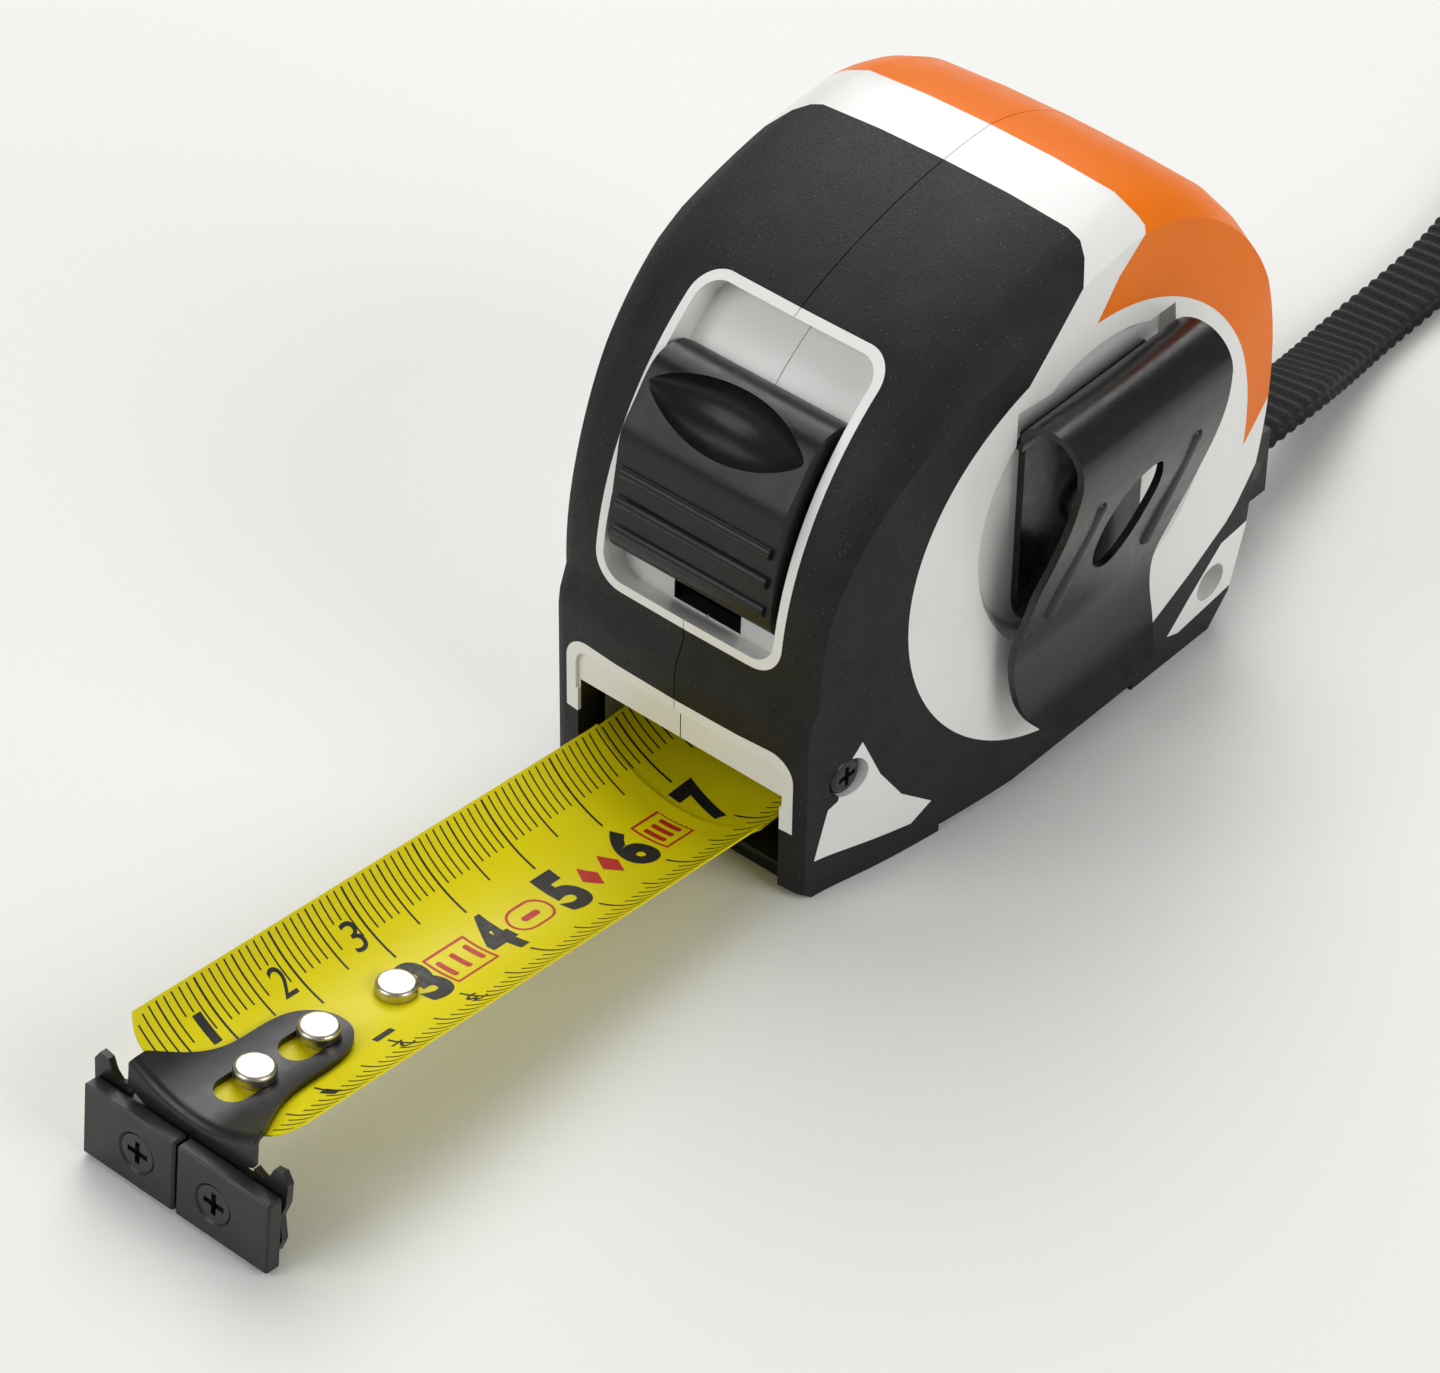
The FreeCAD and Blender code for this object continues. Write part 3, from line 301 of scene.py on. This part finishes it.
NODE_LOOKS = {
    "case_half_right": WHITE, "case_half_left": WHITE, "grip_right": RUBBER, "grip_left": RUBBER,
    "cover_right": ORANGE, "cover_left": ORANGE, "blade": YELLOW, "blade_root": YELLOW,
    "blade_inner_run": YELLOW, "blade_coil": YELLOW, "blade_under_plate": YELLOW, "end_hook": HOOK_STEEL,
    "hook_magnet_left": MAGNET, "hook_magnet_right": MAGNET, "magnet_screws": SCREW, "blade_rivets": RIVET,
    "spindle": SPINDLE, "drum": DRUM_PLASTIC, "return_spring": SPRING, "case_screws": SCREW,
    "clip_screw": SCREW, "belt_clip_plate": CLIP_STEEL, "belt_clip_leaf": CLIP_STEEL, "lock_button": BUTTON,
    "lock_tongue": BUTTON, "brake_shoe": BRAKE, "strap_lug": LUG_PLASTIC, "strap_pin": SCREW,
    "wrist_strap": STRAP_YARN,
}


def dress_nodes():
    """Give each CAD node its material and smooth faces that stay crisp at its real edges."""
    for name, material in NODE_LOOKS.items():
        node = NODES[name]
        node.data.materials.clear()
        node.data.materials.append(material)
        for polygon in node.data.polygons:
            polygon.use_smooth = True
        weld = node.modifiers.new("weld", "WELD")
        weld.merge_threshold = 0.000002
        split = node.modifiers.new("split", "EDGE_SPLIT")
        split.split_angle = math.radians(28)
        split.use_edge_sharp = False


# ---------------------------------------------------------------- wrist strap
# control points in millimetres, from the lug along the table to the fold
STRAP_ROUTE = [(8.7, 46.4, 7.8), (8.7, 56.0, 7.8), (6.0, 66.0, 4.0), (3.8, 77.0, 1.75), (3.6, 88.0, 1.75),
               (2.5, 100.0, 1.75), (-3.0, 122.0, 1.75), (-7.0, 146.0, 1.75), (-5.4, 168.0, 1.75),
               (1.0, 188.0, 1.75)]
STRAP_WIDTH, STRAP_THICK = 8.0 * MM, 3.0 * MM
RIB_PITCH, YARN_PITCH = 1.9 * MM, 0.31 * MM
STRAP_STEP = 0.2 * MM
FOLD_LENGTH = 1.6 * MM                 # the band closes over this length at its far end


def smooth_line(name, points):
    """Evenly read points of the NURBS curve through the given control points, in metres."""
    data = bpy.data.curves.new(name, "CURVE")
    data.dimensions = "3D"
    data.resolution_u = 24
    spline = data.splines.new("NURBS")
    spline.points.add(len(points) - 1)
    for control, (x, y, z) in zip(spline.points, points):
        control.co = (x * MM, y * MM, z * MM, 1)
    spline.order_u = 3
    spline.use_endpoint_u = True
    holder = bpy.data.objects.new(name, data)
    bpy.context.collection.objects.link(holder)
    bpy.context.view_layer.update()
    mesh = bpy.data.meshes.new_from_object(holder)
    line = [v.co.copy() for v in mesh.vertices]
    bpy.data.objects.remove(holder)
    return line


def resampled(line, step):
    """Points at equal distances along a line, and its length."""
    run = [0.0]
    for a, b in zip(line, line[1:]):
        run.append(run[-1] + (b - a).length)
    count = round(run[-1] / step)
    points = []
    seg = 0
    for i in range(count + 1):
        want = run[-1] * i / count
        while seg < len(run) - 2 and run[seg + 1] < want:
            seg += 1
        t = (want - run[seg]) / (run[seg + 1] - run[seg])
        points.append(line[seg].lerp(line[seg + 1], min(max(t, 0), 1)))
    return points, run[-1]


def add_strap():
    """Ribbed webbing folded double: two layers in one band, closed by a fold at the far end."""
    line, length = resampled(smooth_line("strap_route", STRAP_ROUTE), STRAP_STEP)
    half_w, half_t = STRAP_WIDTH / 2, STRAP_THICK / 2
    around = 40
    vertices, faces = [], []
    for i, point in enumerate(line):
        a, b = line[max(i - 1, 0)], line[min(i + 1, len(line) - 1)]
        along = (b - a).normalized()
        side = along.cross(Vector((0, 0, 1))).normalized()
        up = side.cross(along)
        distance = i * STRAP_STEP
        closing = min(1.0, math.sqrt(max(length - distance, 0.0) / FOLD_LENGTH))
        for j in range(around):
            angle = 2 * math.pi * j / around
            c, s = math.cos(angle), math.sin(angle)
            w = math.copysign(abs(c) ** 0.32, c)
            h = math.copysign(abs(s) ** 0.55, s)
            offset = 0.5 if s > 0 else 0.0
            wave = math.sin(2 * math.pi * (distance / RIB_PITCH + offset))
            weft = 1 + 0.13 * wave + 0.02 * math.sin(2 * math.pi * distance / YARN_PITCH + 5 * w)
            groove = 1 - 0.16 * math.exp(-(s / 0.16) ** 2) * (1 if abs(c) > 0.5 else 0)
            edge = 1 + 0.02 * math.sin(2 * math.pi * distance / RIB_PITCH + (0 if c > 0 else math.pi))
            sideways = half_w * 0.965 * w * edge * groove
            upward = half_t * 0.9 * h * weft * closing
            vertices.append(point + side * sideways + up * upward)
    for i in range(len(line) - 1):
        for j in range(around):
            a, b = i * around + j, i * around + (j + 1) % around
            faces.append((a, b, b + around, a + around))
    faces.append(tuple(reversed(range(around))))
    faces.append(tuple(range((len(line) - 1) * around, len(line) * around)))
    strap = new_object("strap_band", vertices, faces, STRAP_YARN)
    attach(strap, "case")
    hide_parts("wrist_strap")


add_strap()
dress_nodes()

# ---------------------------------------------------------------- printed scale
CUP_RADIUS = 15.0 * MM
BLADE_HALF = 12.5 * MM
BLADE_OUT = 66.5 * MM
RUN_DROP = 0.4 * MM                    # the stretch inside the mouth lies this much lower
TILT = math.radians(6.2)
CUP_AXIS = CUP_RADIUS * math.cos(BLADE_HALF / CUP_RADIUS)
LIFT = 0.03 * MM                       # the print stands this far off the lacquer
PIVOT = Vector(next(j for j in frame["joints"] if j["name"] == "blade_tilt")["pos_m"])
DRAWN = Matrix.Translation(PIVOT) @ Matrix.Rotation(-TILT, 4, "X")
ROOT = Matrix.Translation(PIVOT)
INSIDE = Matrix.Translation(PIVOT - Vector((0, 0, RUN_DROP)))


def on_blade(k, u, lift=LIFT, place=DRAWN):
    """Point at k metres from the hook's zero and u metres across the ribbon, on its upper face."""
    angle = u / CUP_RADIUS
    r = CUP_RADIUS - lift
    return place @ Vector((r * math.sin(angle), k - BLADE_OUT, CUP_AXIS - r * math.cos(angle)))


class Print:
    """Flat printed shapes, gathered in millimetres as (k, u), then wrapped onto the cupped ribbon."""

    def __init__(self):
        self.mesh = bmesh.new()

    def quad(self, k0, k1, u0, u1):
        self.outline([(k0, u1), (k1, u1), (k1, u0), (k0, u0)])

    def outline(self, points):
        self.mesh.faces.new([self.mesh.verts.new((k, u, 0)) for k, u in points])

    def ring(self, points, width):
        """Closed line of the given width round a convex outline."""
        centre = Vector((sum(p[0] for p in points), sum(p[1] for p in points))) / len(points)
        count = len(points)
        inner = []
        for i in range(count):
            a, b, c = Vector(points[i - 1]), Vector(points[i]), Vector(points[(i + 1) % count])
            bisector = (a - b).normalized() + (c - b).normalized()
            inward = bisector.normalized() if bisector.length > 1e-4 else (centre - b).normalized()
            grow = width / max(0.35, abs(math.sin((a - b).angle(c - b) / 2)))
            inner.append(b + inward * grow)
        for i in range(count):
            j = (i + 1) % count
            self.outline([tuple(points[i]), tuple(points[j]), tuple(inner[j]), tuple(inner[i])])

    def digit(self, text, k_mid, u_mid, width, height, weight=0.0, turned=False):
        """One character of the built-in face, fitted into width by height."""
        data = bpy.data.curves.new("digit", "FONT")
        data.body = text
        data.size = 1.0
        data.offset = weight
        data.resolution_u = 6
        holder = bpy.data.objects.new("digit", data)
        bpy.context.collection.objects.link(holder)
        bpy.context.view_layer.update()
        flat = bpy.data.meshes.new_from_object(holder)
        bpy.data.objects.remove(holder)
        xs = [v.co.x for v in flat.vertices]
        ys = [v.co.y for v in flat.vertices]
        across, tall = max(xs) - min(xs), max(ys) - min(ys)
        if text == "1":
            width *= 0.6
        way = -1 if turned else 1
        corners = []
        for v in flat.vertices:
            s = ((v.co.x - min(xs)) / across - 0.5) * width * way
            t = ((v.co.y - min(ys)) / tall - 0.5) * height * way
            corners.append(self.mesh.verts.new((k_mid + s, u_mid - t, 0)))
        for polygon in flat.polygons:
            self.mesh.faces.new([corners[i] for i in polygon.vertices])
        bpy.data.meshes.remove(flat)

    def finish(self, name, material, body, place=DRAWN, lift=LIFT):
        """Cut the flat shapes into narrow strips, wrap them round the cup and make the piece."""
        strip, reach = 0.7, 12.6
        u = -reach
        while u < reach:
            cut = self.mesh.verts[:] + self.mesh.edges[:] + self.mesh.faces[:]
            bmesh.ops.bisect_plane(self.mesh, geom=cut, plane_co=(0, u, 0), plane_no=(0, 1, 0), dist=1e-6)
            u += strip
        for vert in self.mesh.verts:
            vert.co = on_blade(vert.co.x * MM, vert.co.y * MM, lift, place)
        bmesh.ops.recalc_face_normals(self.mesh, faces=self.mesh.faces[:])
        mesh = bpy.data.meshes.new(name)
        self.mesh.to_mesh(mesh)
        self.mesh.free()
        piece = bpy.data.objects.new(name, mesh)
        bpy.context.collection.objects.link(piece)
        mesh.materials.append(material)
        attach(piece, body)


def edge_limit(k):
    """Farthest printed distance across the ribbon at k mm, inside the rounded corners."""
    corner, tip, edge = 3.6, 1.0, 12.2
    if k >= tip + corner:
        return edge
    rest = corner - (k - tip)
    return edge - (corner - math.sqrt(max(corner ** 2 - rest ** 2, 0.0)))


def scale_ticks(printed, first, last):
    """Millimetre, half and whole centimetre lines along both edges."""
    for k in range(first, last + 1):
        edge = edge_limit(k)
        if k % 10 == 0:
            far, near, width = -3.3, 5.2, 0.25
        elif k % 5 == 0:
            far, near, width = -4.9, 6.5, 0.21
        else:
            far = -9.4 if k % 10 in (7, 8) and k < 30 else -6.9
            near, width = 7.9, 0.18
        if edge > -far:
            printed.quad(k - width / 2, k + width / 2, -edge, far)
        if edge > near:
            printed.quad(k - width / 2, k + width / 2, near, edge)


def rounded(k0, k1, u0, u1, radius, steps=6):
    """Rounded rectangle as points in order."""
    points = []
    for ck, cu, start in ((k1 - radius, u1 - radius, 0), (k0 + radius, u1 - radius, 90),
                          (k0 + radius, u0 + radius, 180), (k1 - radius, u0 + radius, 270)):
        for i in range(steps + 1):
            a = math.radians(start + 90 * i / steps)
            points.append((ck + radius * math.cos(a), cu + radius * math.sin(a)))
    return points


DIGIT_U, DIGIT_WIDTH, DIGIT_HEIGHT, DIGIT_WEIGHT = 0.95, 3.5, 6.8, 0.05
RED_LINE = 0.28


def main_digit(printed, text, k):
    """One of the large centimetre figures along the middle of the ribbon."""
    printed.digit(text, k, DIGIT_U, DIGIT_WIDTH, DIGIT_HEIGHT, DIGIT_WEIGHT)


def add_scale():
    """The scale's lines and figures, and plain red marks between the figures."""
    black = Print()
    scale_ticks(black, 2, 66)
    for number in (3, 4, 5, 6):
        main_digit(black, str(number), 10 * number - 0.4)
    for number in (1, 2, 3):
        black.digit(str(number), 10 * number - 1.9, -7.4, 1.8, 3.5)
        black.digit(str(number), 10 * number - 0.2, 7.7, 1.5, 2.3, turned=True)
    black.quad(19.3, 21.8, 3.7, 4.5)
    black.finish("scale_black_print", BLACK_INK, "drawn_blade")

    red = Print()
    for box in ((31.6, 37.4), (62.0, 66.3)):
        red.ring(rounded(*box, -1.4, 3.6, 0.1, 1), RED_LINE)
        middle, reach = sum(box) / 2, (box[1] - box[0]) / 2 - 1.0
        for shift in (-reach, 0, reach):
            red.outline(rounded(middle + shift - 0.32, middle + shift + 0.32, -0.3, 2.5, 0.2, 2))
    red.ring(rounded(41.8, 47.3, -0.9, 3.0, 1.9), RED_LINE)
    red.outline(rounded(43.4, 45.7, 0.7, 1.5, 0.35, 3))
    for middle in (53.3, 56.3):
        red.outline([(middle - 1.1, 1.1), (middle, 3.0), (middle + 1.1, 1.1), (middle, -0.8)][::-1])
    red.finish("scale_red_print", RED_INK, "drawn_blade")

    root = Print()
    scale_ticks(root, 67, 67)
    root.finish("scale_root_print", BLACK_INK, "blade_foot", ROOT, 2.5 * LIFT)

    inner = Print()
    scale_ticks(inner, 68, 84)
    main_digit(inner, "7", 70.2)
    inner.finish("scale_inner_print", BLACK_INK, "case", INSIDE)


def add_bend():
    """The ribbon's own smooth bend at the mouth, over the joint of its drawn stretch and its root."""
    # millimetres from the hook's zero, the stretch that the row lies on, and how many LIFTs above it
    rows = [(66.15, DRAWN, 1.0), (66.4, DRAWN, 1.2), (66.7, ROOT, 1.6), (67.0, ROOT, 1.6),
            (67.4, ROOT, 1.6)]
    across = 40
    vertices = [on_blade(k * MM, (2 * j / across - 1) * BLADE_HALF, LIFT * lifts, place)
                for k, place, lifts in rows for j in range(across + 1)]
    faces = []
    for i in range(len(rows) - 1):
        for j in range(across):
            a = i * (across + 1) + j
            faces.append((a, a + 1, a + across + 2, a + across + 1))
    bend = new_object("blade_bend", vertices, faces, YELLOW)
    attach(bend, "blade_foot")


add_scale()
add_bend()


# ---------------------------------------------------------------- floor and light
def add_stage():
    """Pale table, even grey surroundings and four soft lamps."""
    material, tree, surface = shader("pale_table", (0.80, 0.81, 0.78), 0.55, specular=0.35)
    bump(tree, surface, noise(tree, 900, 5, rough=0.6), 0.25, 0.00022)
    reach, below = 3.0, 0.05 * MM
    corners = [(-reach, -reach, 0), (reach, -reach, 0), (reach, reach, 0), (-reach, reach, 0)]
    floor = new_object("floor", corners, [(0, 1, 2, 3)], material)
    floor.location.z = -below

    world = bpy.data.worlds.new("studio")
    world.use_nodes = True
    sky = world.node_tree.nodes["Background"]
    sky.inputs["Color"].default_value = (1.0, 1.0, 1.0, 1)
    sky.inputs["Strength"].default_value = 0.26
    bpy.context.scene.world = world
    # name, place in metres, side of the square in metres, power in watts
    lamps = [
        ("key", (-0.36, 0.36, 0.75), 0.75, 4.4),
        ("right", (0.75, 0.05, 0.50), 0.50, 3.0),
        ("front", (-0.30, -0.75, 0.55), 0.60, 3.3),
        ("back", (-0.52, 0.64, 0.62), 0.45, 1.6),
    ]
    for name, place, size, power in lamps:
        data = bpy.data.lights.new(name, "AREA")
        data.shape = "SQUARE"
        data.size = size
        data.energy = power
        lamp = bpy.data.objects.new(name, data)
        bpy.context.collection.objects.link(lamp)
        lamp.location = place
        aim = Vector((0, -0.02, 0.02)) - Vector(place)
        lamp.rotation_euler = aim.to_track_quat("-Z", "Y").to_euler()
    bpy.context.scene.view_settings.view_transform = "Standard"


add_stage()
